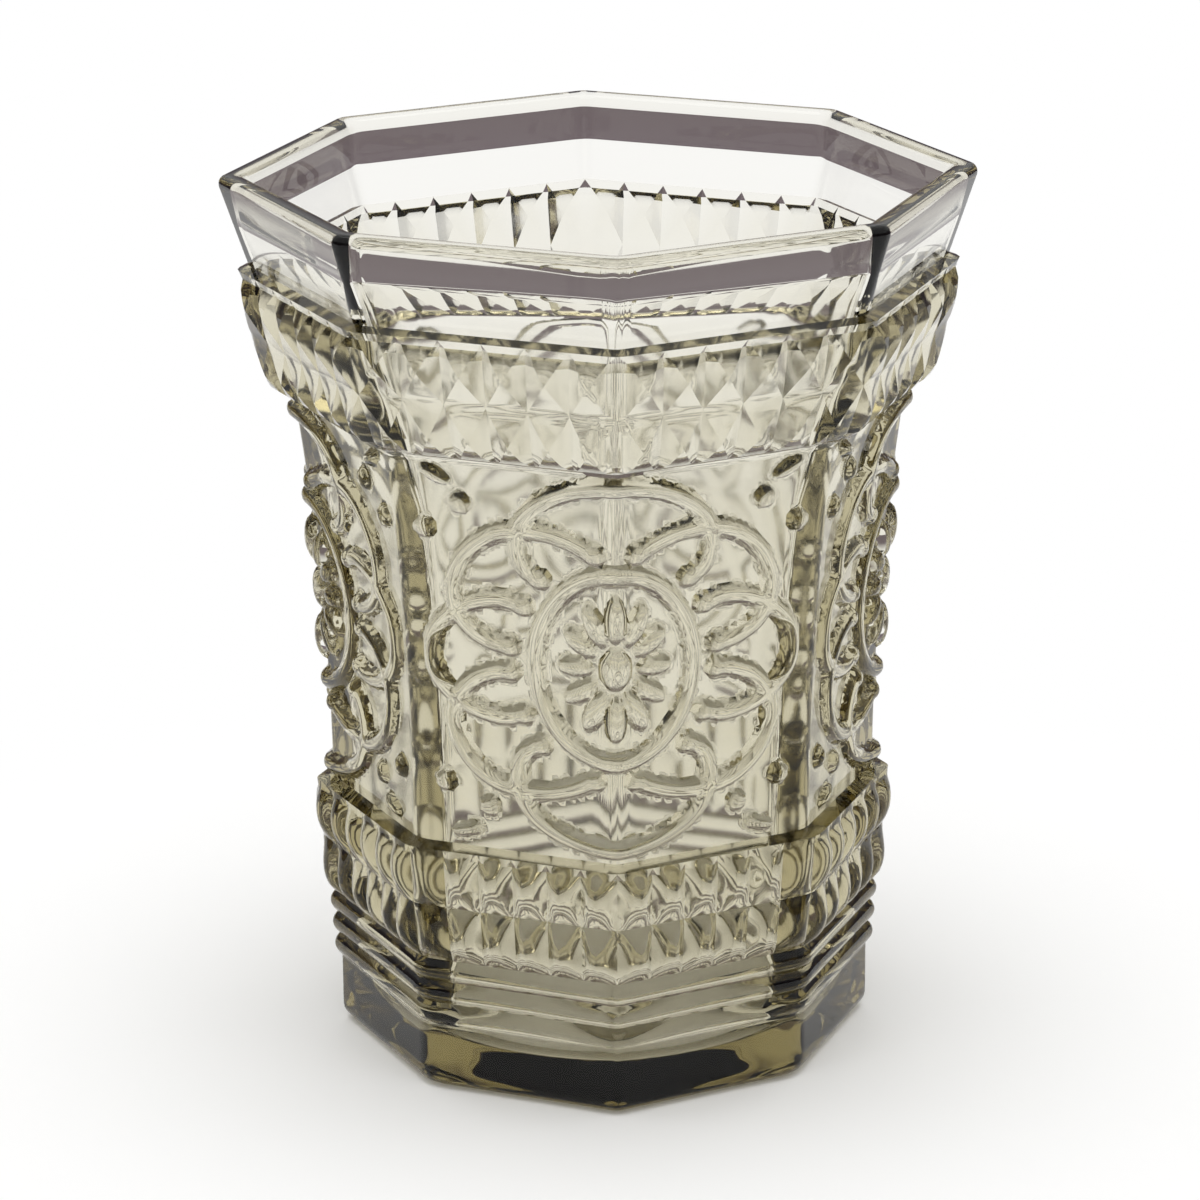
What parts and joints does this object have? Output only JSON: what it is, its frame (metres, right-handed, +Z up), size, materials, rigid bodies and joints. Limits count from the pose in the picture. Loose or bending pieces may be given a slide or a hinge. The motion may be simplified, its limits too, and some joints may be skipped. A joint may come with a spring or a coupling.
{
  "type": "glass tumbler",
  "caption": "Octagonal pressed-glass tumbler in smoky olive-grey glass, with a reeded foot, belts of pyramids, rosette medallions folded over its corners and a flared rim.",
  "frame": {"origin": "centre of the base, on the table", "axes": "+Z up along the axis of the cup, one medallion corner towards -Y"},
  "size_m": [0.0882, 0.0882, 0.1051],
  "materials": {
    "smoked_glass": "gloss"
  },
  "bodies": {
    "root": {"tumbler": "smoked_glass"}
  },
  "joints": []
}
